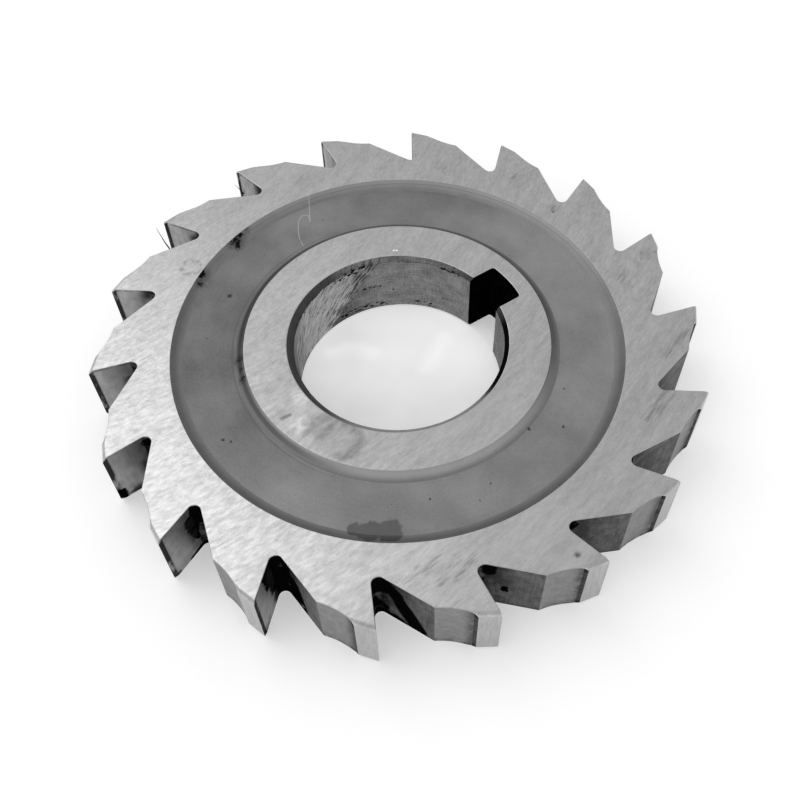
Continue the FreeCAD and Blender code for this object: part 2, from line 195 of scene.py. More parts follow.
def cutter_outline():
    """The whole toothed outline, clockwise from the first tooth's edge."""
    tooth = tooth_outline()
    points, surfaces, breaks, inner = [], [], [], []
    for number in range(TEETH):
        turn = Matrix.Rotation(math.radians(FIRST_TOOTH - PITCH * number), 2)
        points += [turn @ point for point, _, _, _ in tooth]
        surfaces += [surface for _, surface, _, _ in tooth]
        breaks += [size for _, _, size, _ in tooth]
        inner += [way and turn @ way * size for _, _, size, way in tooth]

    # Elsewhere the break follows the corner's own two sides
    for index, point in enumerate(points):
        before = (point - points[index - 1]).normalized()
        after = (points[(index + 1) % len(points)] - point).normalized()
        first, second = Vector((before.y, -before.x)), Vector((after.y, -after.x))
        if inner[index] is None:
            inner[index] = (first + second) * EDGE / (1 + first.dot(second))
        elif index % len(tooth) == 0:
            inner[index] = cross_point(first, EDGE, second, TIP_CORNER)
    return points, surfaces, breaks, inner


def cross_point(first, first_reach, second, second_reach):
    """The point at given distances along two directions."""
    scale = first.x * second.y - first.y * second.x
    return Vector((first_reach * second.y - second_reach * first.y,
                   second_reach * first.x - first_reach * second.x)) / scale


def side_height(radius):
    """The height of the rim's side face above the middle plane."""
    return HALF_WIDTH - (TIP_RADIUS - radius) * math.tan(math.radians(SIDE_RELIEF))


def opening_outline(radius, centre, grow):
    """The bore round a centre with its keyway, all grown by a distance, anticlockwise."""
    bore, half, corner = radius + grow, KEYWAY_HALF + grow, KEYWAY_CORNER + grow
    low, high = KEYWAY_MIDDLE - half, KEYWAY_MIDDLE + half
    start = math.asin((high - centre.y) / bore)
    end = 2 * math.pi + math.asin((low - centre.y) / bore)
    count = ROUND - KEYWAY_GAP
    turns = [start + (end - start) * step / count for step in range(count + 1)]
    points = [centre + Vector((math.cos(turn), math.sin(turn))) * bore for turn in turns]

    # The keyway's floor is crowned outward between its two corners
    crest = KEYWAY_FLOOR + grow
    foot = crest - KEYWAY_CROWN
    right, left = Vector((foot - corner, low)), Vector((foot - corner, high))
    points += spread(points[-1], right, (0.33, 0.66))
    points += arc(Vector((foot - corner, low + corner)), right,
                  Vector((foot, low + corner)), CORNER_STEPS)
    for step in range(CROWN_STEPS):
        share = step / CROWN_STEPS
        points.append(Vector((crest - KEYWAY_CROWN * (2 * share - 1) ** 2,
                              (low + corner) * (1 - share) + (high - corner) * share)))
    points += arc(Vector((foot - corner, high - corner)),
                  Vector((foot, high - corner)), left, CORNER_STEPS)
    return points + spread(left, points[0], (0, 0.33, 0.66))


def recess_profile():
    """The turned recess, from the rim's edge in to the hub's edge.

    Each entry is a point, radius and height, and the surface that starts there.
    """
    floor = HALF_WIDTH - RECESS_DEPTH
    rim_slope, hub_slope = math.radians(RIM_WALL), math.radians(HUB_WALL)
    rim_edge = Vector((RIM_RADIUS, side_height(RIM_RADIUS)))
    hub_edge = Vector((HUB_RADIUS, HALF_WIDTH))
    rim_run = (rim_edge.y - floor) / math.tan(rim_slope) + RECESS_CORNER * math.tan(rim_slope / 2)
    hub_run = RECESS_DEPTH / math.tan(hub_slope) + RECESS_CORNER * math.tan(hub_slope / 2)
    rim_floor, hub_floor = RIM_RADIUS - rim_run, HUB_RADIUS + hub_run

    def corner(radius, slope, way):
        """The rounded foot of a wall, from the wall to the floor."""
        turns = [slope * share for share in (1.0, 0.66, 0.33, 0.0)]
        return [Vector((radius + way * RECESS_CORNER * math.sin(turn),
                        floor + RECESS_CORNER * (1 - math.cos(turn)))) for turn in turns]

    # Each edge is broken with three points, on the face, on the bend and on the wall
    rim_corner, hub_corner = corner(rim_floor, rim_slope, 1), corner(hub_floor, hub_slope, -1)
    rim_wall = Vector((math.cos(rim_slope), math.sin(rim_slope))) * TURNED_EDGE
    hub_wall = Vector((math.cos(hub_slope), -math.sin(hub_slope))) * TURNED_EDGE
    rim_bend, hub_bend = Vector((-0.1, -0.15)) * TURNED_EDGE, Vector((0.1, -0.15)) * TURNED_EDGE
    flat = spread(rim_corner[3], hub_corner[3], (0.25, 0.5, 0.75))
    stretches = (
        ("side", [rim_edge + Vector((TURNED_EDGE, 0))]),
        ("wall", [rim_edge + rim_bend, rim_edge - rim_wall, *rim_corner[:2]]),
        ("recess", [*rim_corner[2:], *flat, *hub_corner[:1:-1]]),
        ("wall", [*hub_corner[1::-1], hub_edge + hub_wall]),
        ("side", [hub_edge + hub_bend, hub_edge - Vector((TURNED_EDGE, 0))]),
    )
    return [(point, surface) for surface, points in stretches for point in points]


def ragged(point):
    """How much deeper the bore's chamfer reaches at a place round it, where it is torn."""
    turn = math.degrees(math.atan2(point.y, point.x)) % 360
    torn = max(0.0, min((turn - 25) / 10, (150 - turn) / 20, 1.0))
    wave = noise.noise(Vector((point.x * 1.1, point.y * 1.1, 3.7)))
    ripple = noise.noise(Vector((point.x * 3.7, point.y * 3.7, 8.1)))
    return 0.05 * ripple + torn * (0.22 * wave + 0.12 * ripple)


class Shell:
    """A closed mesh that grows from rings of points, each face with a surface's name."""

    def __init__(self, surfaces):
        self.mesh = bmesh.new()
        self.surfaces = surfaces

    def ring(self, points, heights):
        return [self.mesh.verts.new((point.x * MM, point.y * MM, (height + HALF_WIDTH) * MM))
                for point, height in zip(points, heights)]

    def face(self, corners, surface):
        face = self.mesh.faces.new(corners)
        face.material_index = self.surfaces.index(surface)
        face.smooth = True

    def loft(self, first, second, surface):
        """Quads between two rings; surface is one name, or one for each stretch."""
        names = [surface] * len(first) if isinstance(surface, str) else surface
        for index, name in enumerate(names):
            after = (index + 1) % len(first)
            self.face((first[index], first[after], second[after], second[index]), name)

    def fill(self, outer, inner, hole, surface):
        """The flat region between two rings."""
        corners = outer + inner
        flat = [Vector((corner.co.x, corner.co.y)) / MM for corner in corners]
        loops = [(0, len(outer)), (len(outer), len(inner))]
        edges = [(start + step, start + (step + 1) % count)
                 for start, count in loops for step in range(count)]
        made = delaunay_2d_cdt(flat, edges, [], 1, 1e-5)
        for triangle in made[2]:
            centre = sum((made[0][corner] for corner in triangle), Vector((0, 0))) / 3
            if not hole(centre):
                self.face([corners[made[3][corner][0]] for corner in triangle], surface)

    def hair(self, line, thick, surface):
        """A fine tapered wire through points given from the lower side."""
        rings = []
        for number, place in enumerate(line):
            radius = thick * (1 - 0.8 * number / (len(line) - 1))
            flat = [Vector(place[:2]) + polar(radius, 60 * step) for step in range(6)]
            rings.append(self.ring(flat, [place[2] - HALF_WIDTH] * 6))
        for first, second in zip(rings, rings[1:]):
            self.loft(first, second, surface)
        self.face(rings[0][::-1], surface)
        self.face(rings[-1], surface)


def add_recess(shell, side):
    """One side's turned recess; gives its outermost and innermost rings."""
    circle = [polar(1, 360 * step / ROUND) for step in range(ROUND)]
    profile = recess_profile()
    turned = [shell.ring([spoke * point.x for spoke in circle], [side * point.y] * ROUND)
              for point, _ in profile]
    for (_, surface), first, second in zip(profile, turned, turned[1:]):
        shell.loft(first, second, surface)
    return turned[0], turned[-1]


def add_throat(shell, side):
    """One side's way down into the bore; gives the ring on the hub face and the last one."""
    radius, centre = MOUTHS[side]
    throat = []

    # Rings by how far they lie outside the mouth or the bore and how deep they are
    for grow, sink in ((MOUTH_STRIP, 0), (TURNED_EDGE, 0), (TURNED_EDGE * 0.3, TURNED_EDGE * 0.3),
                       (-TURNED_EDGE, TURNED_EDGE)):
        points = opening_outline(radius, centre, grow)
        throat.append(shell.ring(points, [side * (HALF_WIDTH - sink)] * len(points)))
    for grow, sink in ((TURNED_EDGE / 2, -TURNED_EDGE / 2), (0, TURNED_EDGE / 2)):
        points = opening_outline(BORE_RADIUS, BORE_CENTRE, grow)
        reaches = [radius - (point - centre).length for point in points]
        torn = [ragged(point) if side > 0 else 0 for point in points]
        depths = [sink + (reach if reach > 0 else KEYWAY_CHAMFER) + extra
                  for reach, extra in zip(reaches, torn)]
        throat.append(shell.ring(points, [side * (HALF_WIDTH - depth) for depth in depths]))

    surfaces = ("side", "side", "chamfer", "chamfer", "chamfer")
    for surface, first, second in zip(surfaces, throat, throat[1:]):
        in_keyway = "side" if surface == "side" else "keyway"
        shell.loft(first, second, round_the_bore(surface, in_keyway))
    return throat[0], throat[-1]


def round_the_bore(bore, keyway):
    """Surface names for each stretch between two rings round the bore and its keyway."""
    return [bore] * (ROUND - KEYWAY_GAP) + [keyway] * KEYWAY_STEPS


def over_recess(place):
    """Whether a place lies within the inner edge of the rim's side face."""
    return place.length < RIM_RADIUS + TURNED_EDGE


def over_opening(side):
    """A test for places over the opening in one side's hub face."""
    radius, centre = MOUTHS[side]

    def test(place):
        in_mouth = (place - centre).length < radius + MOUTH_STRIP
        in_keyway = abs(place.y - KEYWAY_MIDDLE) < KEYWAY_HALF + MOUTH_STRIP and place.x > 0
        return in_mouth or in_keyway and place.x < KEYWAY_FLOOR + MOUTH_STRIP

    return test


def cutter_mesh(surfaces):
    """The whole cutter as one closed mesh, both sides alike, with its two burrs."""
    shell = Shell(surfaces)
    outline, names, breaks, inner = cutter_outline()
    tops = [side_height(point.length) for point in outline]
    walls, throats = [], []
    for side in (1, -1):
        # From the tooth flanks over the broken edge to the side face
        broken = []
        for turn in range(0, 91, 18):
            along, down = 1 - math.cos(math.radians(turn)), 1 - math.sin(math.radians(turn))
            points = [point + way * along for point, way in zip(outline, inner)]
            heights = [side * (top - size * down) for top, size in zip(tops, breaks)]
            broken.append(shell.ring(points, heights))
        for first, second in zip(broken, broken[1:]):
            shell.loft(first, second, "side")
        walls.append(broken[0])

        rim_ring, hub_ring = add_recess(shell, side)
        hub_mouth, bore_ring = add_throat(shell, side)
        throats.append(bore_ring)
        shell.fill(broken[-1], rim_ring, over_recess, "side")
        shell.fill(hub_ring, hub_mouth, over_opening(side), "side")

    shell.loft(walls[1], walls[0], names)
    shell.loft(throats[0], throats[1], round_the_bore("bore", "keyway"))
    for line in BURRS:
        shell.hair(line, BURR_RADIUS, "keyway")
    bmesh.ops.recalc_face_normals(shell.mesh, faces=shell.mesh.faces)
    mesh = bpy.data.meshes.new("cutter_body")
    shell.mesh.to_mesh(mesh)
    shell.mesh.free()
    mesh.set_sharp_from_angle(angle=math.radians(SHARP_ANGLE))
    return mesh


class Graph:
    """One material and its nodes, with places in millimetres from the bore's lower end."""

    def __init__(self, name):
        self.material = bpy.data.materials.new(name)
        self.material.use_nodes = True
        self.tree = self.material.node_tree
        self.shader = self.tree.nodes["Principled BSDF"]
        place = self.add("ShaderNodeTexCoord").outputs["Object"]
        self.place = self.vector("MULTIPLY", place, (1 / MM,) * 3)
        self.flat = self.vector("MULTIPLY", self.place, (1, 1, 0))
        self.radius = self.vector("LENGTH", self.flat)
        self.height = self.split(self.place)[2]

    def add(self, kind, **settings):
        node = self.tree.nodes.new(kind)
        for key, value in settings.items():
            setattr(node, key, value)
        return node

    def put(self, socket, value):
        if isinstance(value, bpy.types.NodeSocket):
            self.tree.links.new(value, socket)
        else:
            socket.default_value = value

    def set(self, **values):
        for key, value in values.items():
            self.put(self.shader.inputs[key.replace("_", " ")], value)

    def math(self, operation, *values):
        node = self.add("ShaderNodeMath", operation=operation)
        for socket, value in zip(node.inputs, values):
            self.put(socket, value)
        return node.outputs[0]

    def vector(self, operation, *values):
        node = self.add("ShaderNodeVectorMath", operation=operation)
        sockets = [node.inputs[0], node.inputs["Scale"]] if operation == "SCALE" else node.inputs
        for socket, value in zip(sockets, values):
            self.put(socket, value)
        single = operation in ("LENGTH", "DISTANCE", "DOT_PRODUCT")
        return node.outputs["Value" if single else "Vector"]

    def split(self, vector):
        node = self.add("ShaderNodeSeparateXYZ")
        self.put(node.inputs[0], vector)
        return node.outputs

    def join(self, *values):
        node = self.add("ShaderNodeCombineXYZ")
        for socket, value in zip(node.inputs, values):
            self.put(socket, value)
        return node.outputs[0]

    def ramp(self, value, low, high, start=0.0, end=1.0):
        """Goes smoothly from start to end while value goes from low to high."""
        node = self.add("ShaderNodeMapRange", interpolation_type="SMOOTHSTEP")
        for socket, number in zip(node.inputs, (value, low, high, start, end)):
            self.put(socket, number)
        return node.outputs[0]

    def cover(self, base, *layers):
        """A value with others laid over it, each by its share."""
        for share, value in layers:
            node = self.add("ShaderNodeMix", data_type="FLOAT")
            for number, item in ((0, share), (2, base), (3, value)):
                self.put(node.inputs[number], item)
            base = node.outputs[0]
        return base

    def total(self, first, *rest):
        for value in rest:
            first = self.math("ADD", first, value)
        return first

    def product(self, first, *rest):
        for value in rest:
            first = self.math("MULTIPLY", first, value)
        return first

    def rest(self, value):
        """What a value leaves of 1."""
        return self.math("SUBTRACT", 1.0, value)

    def level(self, noise, low, high):
        """Goes from low to high with a noise, which seldom leaves 0.3 to 0.7."""
        return self.ramp(noise, 0.3, 0.7, low, high)

    def close(self, value, middle, reach, core):
        """How close a value is to a middle one, from 0 at its reach to 1 within its core."""
        return self.ramp(self.math("ABSOLUTE", self.math("SUBTRACT", value, middle)), reach, core)

    def upper(self):
        """1 on the cutter's upper half and 0 on the lower."""
        return self.ramp(self.height, 4.0, 6.0)

    def facing(self, angle, low, high):
        """Goes from 0 to 1 round the axis, towards an angle in degrees."""
        return self.ramp(self.math("DIVIDE", self.along(angle), self.radius), low, high)

    def along(self, angle):
        """How far a place lies from the axis towards an angle in degrees."""
        return self.vector("DOT_PRODUCT", self.flat, (*polar(1, angle), 0))

    def noise(self, scale, detail=3.0, place=None, roughness=0.55, shift=0.0):
        """Noise of about 0 to 1, scale in features for each millimetre on each axis."""
        scale = (scale,) * 3 if isinstance(scale, (int, float)) else scale
        place = self.vector("MULTIPLY", self.place if place is None else place, scale)
        if shift:
            place = self.vector("ADD", place, (shift, shift * 0.7, shift * 1.3))
        node = self.add("ShaderNodeTexNoise")
        values = {"Vector": place, "Scale": 1.0, "Detail": detail, "Roughness": roughness}
        for key, value in values.items():
            self.put(node.inputs[key], value)
        return node.outputs["Fac"]

    def sweep(self, centre, reach):
        """Places as distance from a far centre and length round it, for curved grinding lines."""
        spoke = self.vector("SUBTRACT", self.flat, (*centre, 0))
        return self.join(self.vector("LENGTH", spoke), self.turned(spoke, reach), self.height)

    def unrolled(self, reach):
        """Places as length round the axis at a radius, height and distance from the axis."""
        return self.join(self.turned(self.flat, reach), self.height, self.radius)

    def turned(self, spoke, reach):
        """The direction of a spoke, as a length round a circle of a given radius."""
        x, y, _ = self.split(spoke)
        return self.product(self.math("ARCTAN2", y, x), reach)

    def wavy(self, warp, grain):
        """The place, pushed about by up to half the warp, for ragged outlines."""
        if not warp:
            return self.place
        wave = self.noise(grain, 3, shift=5)
        push = self.product(self.math("SUBTRACT", wave, 0.5), warp)
        return self.vector("ADD", self.place, self.join(push, push, push))

    def near(self, marks, warp=0.0, grain=1.2):
        """How near the closest mark is, 0 at its centre and 1 at its reach."""
        place = self.wavy(warp, grain)
        nearest = FAR
        for x, y, z, reach in marks:
            away = self.vector("DISTANCE", place, (x, y, z))
            nearest = self.math("MINIMUM", nearest, self.math("DIVIDE", away, reach))
        return nearest

    def off_line(self, place, start, end):
        """How far a place is from the straight line between two points."""
        run = end - start
        here = self.vector("SUBTRACT", place, start)
        share = self.add("ShaderNodeClamp")
        reach = self.vector("DOT_PRODUCT", here, run)
        self.put(share.inputs[0], self.math("DIVIDE", reach, run.length_squared))
        return self.vector("DISTANCE", here, self.vector("SCALE", run, share.outputs[0]))

    def strokes(self, marks, reach, core=0.0, warp=0.0, grain=1.2):
        """How much of a straight mark is here, from 0 at its reach to 1 within its core."""
        place = self.vector("MULTIPLY", self.wavy(warp, grain), (1, 1, 0))
        nearest = FAR
        for x1, y1, x2, y2 in marks:
            away = self.off_line(place, Vector((x1, y1, 0)), Vector((x2, y2, 0)))
            nearest = self.math("MINIMUM", nearest, away)
        return self.ramp(nearest, reach, core)

    def trails(self, marks, warp, grain, merge):
        """How near the closest trail is, 0 along its middle and 1 at its reach.

        Merge lets trails that are close to each other run together.
        """
        place = self.wavy(warp, grain)
        nearest = FAR
        for x1, y1, z1, x2, y2, z2, reach in marks:
            away = self.off_line(place, Vector((x1, y1, z1)), Vector((x2, y2, z2)))
            nearest = self.math("SMOOTH_MIN", nearest, self.math("DIVIDE", away, reach), merge)
        return nearest

    def grey(self, value):
        node = self.add("ShaderNodeCombineColor")
        for socket in node.inputs[:3]:
            self.put(socket, value)
        return node.outputs[0]

    def steel(self, tone, black, metallic, rough):
        """Metal of some tone, covered with matt black where black is 1, which stands for dirt and
        in places for painted shade.
        """
        self.set(Base_Color=self.grey(self.cover(tone, (black, DIRT_AND_SHADE_TONE))), Roughness=rough,
                 Metallic=self.product(self.rest(black), metallic), Specular_IOR_Level=0.0)

    def bump(self, height, distance):
        node = self.add("ShaderNodeBump")
        self.put(node.inputs["Height"], height)
        node.inputs["Distance"].default_value = distance * MM
        self.put(self.shader.inputs["Normal"], node.outputs[0])


# Marks on the side faces, as x, y, z and reach in millimetres, and straight ones, as the x and
# y of both ends; then those of the recess
SIDE_SMUDGES = (
    (22.8, 23.6, 9.9, 1.1), (30.0, 15.5, 9.9, 1.2), (3.9, 32.9, 9.9, 0.9),
    (36.2, -6.7, 9.9, 1.1), (31.2, -8.2, 9.9, 1.3), (34.4, -7.6, 9.9, 0.7), (31.2, 7.1, 9.9, 0.9),
    (-18.3, -2.4, 10.0, 0.8), (7.9, -16.2, 10.0, 0.6),
)
SIDE_PITS = (
    (30.8, 6.7, 9.9, 0.3), (0.2, -37.3, 10.0, 0.55), (37.6, -7.2, 9.6, 0.6),
)
RING_STAIN, RING_RADIUS = (-16.9, 26.3, 9.9), 1.25
HUB_STAIN = ((-14.2, -8.6, 10.0, 3.0),)
HUB_PRINT = (
    (-17.0, -6.2, -15.6, -5.5), (-15.6, -5.5, -14.2, -5.5), (-14.2, -5.5, -13.0, -6.2),
    (-13.0, -6.2, -12.2, -7.7), (-12.2, -7.7, -11.8, -9.6), (-11.8, -9.6, -12.6, -11.3),
    (-12.6, -11.3, -14.2, -11.8), (-14.2, -11.8, -15.4, -11.4), (-16.0, -7.6, -14.2, -7.0),
)
HUB_NICK = ((-18.6, -2.6, -17.5, -2.7),)
# A painted highlight: a brighter, mottled sheen on the hub face's left, where it reflects the
# light
HUB_PAINTED_SHINE = ((-17.3, -4.7, 10.0, 1.4), (-15.0, -1.2, 10.0, 1.3))
# A painted highlight: a tiny white glint on the hub face, as from a burr catching the light
PAINTED_GLINT = ((7.98, 13.15, 10.0, 0.19), (8.32, 12.95, 10.0, 0.19))
RIM_SCRATCHES = (
    (27.0, -21.6, 32.0, -20.0), (29.4, -22.4, 33.0, -21.2), (18.6, -27.6, 24.4, -25.2),
    (20.6, -27.6, 26.0, -25.4), (-15.2, -29.6, -12.6, -28.6), (-14.6, -31.6, -11.2, -30.2),
    (-12.8, -32.4, -9.6, -30.9), (-17.6, -29.4, -15.8, -28.8),
)
FLOOR_PITS = (
    (-26.0, -0.8, 9.1, 0.26), (-25.3, -1.6, 9.1, 0.18), (6.2, -20.4, 9.2, 0.26),
    (9.9, -22.5, 9.1, 0.22), (-9.4, -21.8, 9.1, 0.16), (-2.2, -24.0, 9.1, 0.15),
    (-14.6, 19.4, 9.1, 0.4), (-1.5, 23.0, 9.1, 0.16), (3.2, 24.6, 9.1, 0.13),
    (-20.5, 14.5, 9.1, 0.14), (13.5, -18.0, 9.1, 0.14), (-4.6, -25.2, 9.1, 0.12),
)
FLOOR_STAINS = (
    (-10.0, 27.6, 9.4, 0.5), (-9.2, 27.7, 9.4, 0.65), (-8.3, 28.2, 9.5, 0.5),
    (-7.2, 28.7, 9.6, 0.35), (-9.4, 26.9, 9.2, 0.4), (-16.3, 24.5, 9.6, 0.6),
    (-17.1, 23.4, 9.4, 0.4), (-18.7, 8.6, 9.5, 0.42), (-19.2, 7.2, 9.5, 0.3),
    (-19.7, 5.6, 9.4, 0.36),
)
FLOOR_BLOTCH = ((-17.6, -21.6, 9.3, 1.6), (-15.8, -22.8, 9.3, 1.7), (-18.9, -20.2, 9.2, 0.9))
FLOOR_SCRATCHES = (
    (3.7, 29.4, 3.1, 28.4), (3.1, 28.4, 1.5, 25.4), (1.5, 25.4, 1.9, 26.6),
    (1.9, 26.6, 1.1, 27.0), (1.1, 27.0, 0.3, 26.5), (0.3, 26.5, -0.6, 25.2),
    (-0.6, 25.2, -1.4, 23.4), (-1.4, 23.4, -1.7, 21.8),
)

# Soot on the teeth, as the x, y and z of both ends of each trail and its reach
SOOT = (
    (-28.2, -18.9, 9.2, -28.2, -18.9, 0.2, 2.0), (-29.6, -19.0, 9.2, -29.2, -18.8, 3.6, 1.4),
    (-30.4, -19.7, 9.6, -30.1, -19.5, 6.6, 1.2), (-27.6, -20.6, 6.0, -27.1, -21.4, 0.3, 1.8),
    (-33.2, -8.2, 9.4, -33.0, -7.2, 6.4, 1.2), (-34.4, -7.7, 7.6, -34.1, -7.6, 4.6, 0.95),
    (-34.1, -7.6, 4.6, -34.0, -7.6, 2.8, 0.5), (-33.2, -7.2, 0.5, -35.6, -8.3, 0.0, 0.7),
    (-20.4, -27.4, 9.6, -20.3, -27.5, 7.2, 1.6), (-20.8, -28.0, 4.4, -20.6, -28.0, 0.4, 1.5),
    (-20.0, -27.4, 9.2, -19.0, -28.8, 7.4, 1.5), (-19.0, -28.8, 7.4, -18.5, -30.0, 4.6, 1.3),
    (-18.5, -30.0, 4.6, -17.7, -31.6, 0.8, 1.5), (-20.0, -27.4, 0.8, -18.6, -29.7, 0.2, 0.9),
    (-33.9, 4.2, 8.9, -33.9, 4.2, 8.5, 0.9), (-39.8, 4.3, 1.4, -39.8, 4.3, 0.6, 1.4),
    (-30.4, 15.0, 9.2, -30.4, 15.0, 8.8, 0.7), (-8.9, -33.0, 9.2, -8.9, -33.0, 8.2, 1.0),
    (-7.4, -34.4, 4.6, -7.4, -34.4, 4.0, 0.6), (2.4, -33.9, 9.1, 2.4, -33.9, 8.4, 0.8),
    (-25.4, 23.4, 8.8, -25.4, 23.4, 8.4, 0.7),
)


def add_side(g):
    """Surface-ground steel: curved grinding lines, cloudy reflections, smudges and pits, with
    painted highlights, light and shade in places.
    """
    lines = g.sweep((-33.3, 117.6), 120)
    clouds = g.noise((1.9, 0.75, 0.7), 5, lines)
    strokes = g.noise((6.0, 0.9, 1.5), 4, lines, shift=13)
    fine = g.noise((12.0, 3.0, 3), 3, lines, shift=29)
    grain = g.noise(5.0, 2, shift=3)
    patch = g.noise(0.14, 3, shift=17)
    cuts = g.product(g.ramp(g.noise((3.4, 0.16, 1), 2, lines, shift=41), 0.63, 0.72),
                     g.ramp(patch, 0.48, 0.6))
    smudge = g.product(g.ramp(g.near(SIDE_SMUDGES, 2.4, 0.8), 1.5, 0.2),
                       g.ramp(g.noise((4.0, 0.6, 1), 4, lines, shift=8), 0.35, 0.65))
    pits = g.ramp(g.near(SIDE_PITS, 0.4, 3.0), 1.1, 0.1)
    bands = g.noise((0.6, 0.12, 0.3), 4, lines, shift=83)
    specks = g.ramp(g.noise(2.2, 2, shift=51), 0.74, 0.78)
    ring = g.close(g.vector("DISTANCE", g.place, RING_STAIN), RING_RADIUS, 0.55, 0.05)
    ring = g.product(ring, g.ramp(g.noise(1.6, 3, shift=21), 0.4, 0.62))
    stain = g.ramp(g.near(HUB_STAIN, 1.2, 0.7), 1.1, 0.9)
    print_line = g.product(g.strokes(HUB_PRINT, 1.1, 0.1, 1.6, 0.8),
                           g.ramp(g.noise(0.9, 3, shift=33), 0.25, 0.55, 0.5, 1.0), g.upper())
    nick = g.product(g.strokes(HUB_NICK, 0.4, 0.05, 0.6), g.upper())
    # Painted highlight on the hub face's left, mottled along the grinding lines
    painted_shine = g.product(g.ramp(g.near(HUB_PAINTED_SHINE, 1.5, 0.7), 1.4, 0.3),
                      g.ramp(g.noise((1.6, 0.7, 1), 4, lines, shift=77), 0.35, 0.6))
    # A painted white glint
    painted_glint = g.ramp(g.near(PAINTED_GLINT), 1.0, 0.7)
    scratch = g.product(g.strokes(RIM_SCRATCHES, 0.8, 0.1), g.upper(),
                        g.ramp(g.noise((5, 0.45, 1), 4, lines, shift=61), 0.4, 0.62))
    keen = g.rest(g.product(g.facing(245, 0.0, 0.9), 0.45))
    lining = g.total(g.level(strokes, -0.036, 0.036), g.level(fine, -0.03, 0.03))
    base = g.total(g.level(clouds, 0.43, 0.50), g.product(lining, keen),
                   g.level(grain, -0.02, 0.02), g.level(bands, -0.03, 0.04))
    # Painted shade darkens the hub face along its edge on the left, and painted light brightens
    # the rim face along its inner edge on the left
    painted_hub_shade = g.product(g.ramp(g.radius, 20.6, 20.2), g.facing(200, -0.2, 0.9))
    lit = g.product(g.ramp(g.radius, 29.0, 29.4), g.facing(185, 0.2, 1.0))
    base = g.product(base, g.total(1.0, g.product(painted_hub_shade, -0.1), g.product(lit, 0.08)))
    marks = g.cover(0.0, (cuts, 0.16), (smudge, 0.3), (ring, 0.3), (stain, 0.12),
                    (print_line, 0.3), (nick, 0.4), (scratch, 0.35), (specks, 0.4), (pits, 0.7))
    tone = g.product(base, g.rest(marks))
    # Painted highlights laid over the tone: the hub face's sheen and a white glint
    tone = g.cover(tone, (g.product(painted_shine, 0.75), 0.66), (painted_glint, 1.0))
    rough = g.total(g.level(clouds, 0.40, 0.30), g.ramp(g.radius, 20.0, 29.5, 0.03, 0.0),
                    g.product(marks, 0.3))
    broad = g.noise((0.8, 0.45, 0.5), 3, lines, shift=71)
    grooves = g.total(g.product(strokes, 0.5), g.product(fine, 0.25))
    relief = g.total(clouds, g.product(broad, 1.2), g.product(grooves, keen))
    g.set(Base_Color=g.grey(tone), Metallic=1.0, Roughness=rough)
    g.bump(relief, 0.0105)


def recess_marks(g):
    """Stains, dots and hairlines of the recess: how dark and how bright."""
    stains = g.near(FLOOR_STAINS, 1.5, 1.9)
    specks = g.ramp(g.noise(2.6, 2, shift=27), 0.70, 0.76)
    pits = g.ramp(g.near(FLOOR_PITS, 0.35, 3.5), 1.3, 0.3)
    blotch = g.ramp(g.near(FLOOR_BLOTCH, 1.8, 0.9), 1.1, 0.85)
    dark = g.cover(0.0, (blotch, 0.5), (g.ramp(stains, 3.0, 1.0), 0.4), (specks, 0.4),
                   (g.ramp(stains, 1.25, 0.8), 0.96), (pits, 0.85))
    bright = g.product(g.strokes(FLOOR_SCRATCHES, 0.09, 0.03), g.upper(), 0.6)
    return dark, bright


def add_recess_steel(g):
    """The floor of the turned recess, dark and dull."""
    clouds = g.noise(0.22, 4, shift=2)
    grain = g.noise(6.0, 3, shift=9)
    turning = g.noise((0, 0, 4.5), 3, g.unrolled(25), shift=6)
    # Painted shade: a thin dark line round the floor next to the hub's wall, on the left only
    groove_shade = g.product(g.close(g.radius, 21.6, 0.16, 0.04), g.facing(150, 0.2, 0.8))
    patches = g.noise(0.09, 2, shift=44)
    base = g.total(g.level(clouds, 0.205, 0.25), g.ramp(patches, 0.35, 0.65, -0.025, 0.025),
                   g.ramp(grain, 0.25, 0.75, -0.022, 0.022), g.level(turning, -0.005, 0.005))
    base = g.total(base, g.product(g.facing(149, 0.5, 1.0), -0.075),
                   g.product(g.facing(55, 0.75, 1.0), -0.04),
                   g.product(g.facing(-20, 0.2, 1.0), 0.035))
    dark, bright = recess_marks(g)
    tone = g.product(base, g.rest(dark))
    tone = g.cover(tone, (g.product(groove_shade, 0.4), 0.09), (bright, 0.5))
    g.set(Base_Color=g.grey(tone), Metallic=0.5, Roughness=g.level(clouds, 0.46, 0.54))
    g.bump(g.total(grain, g.product(turning, 0.3)), 0.008)


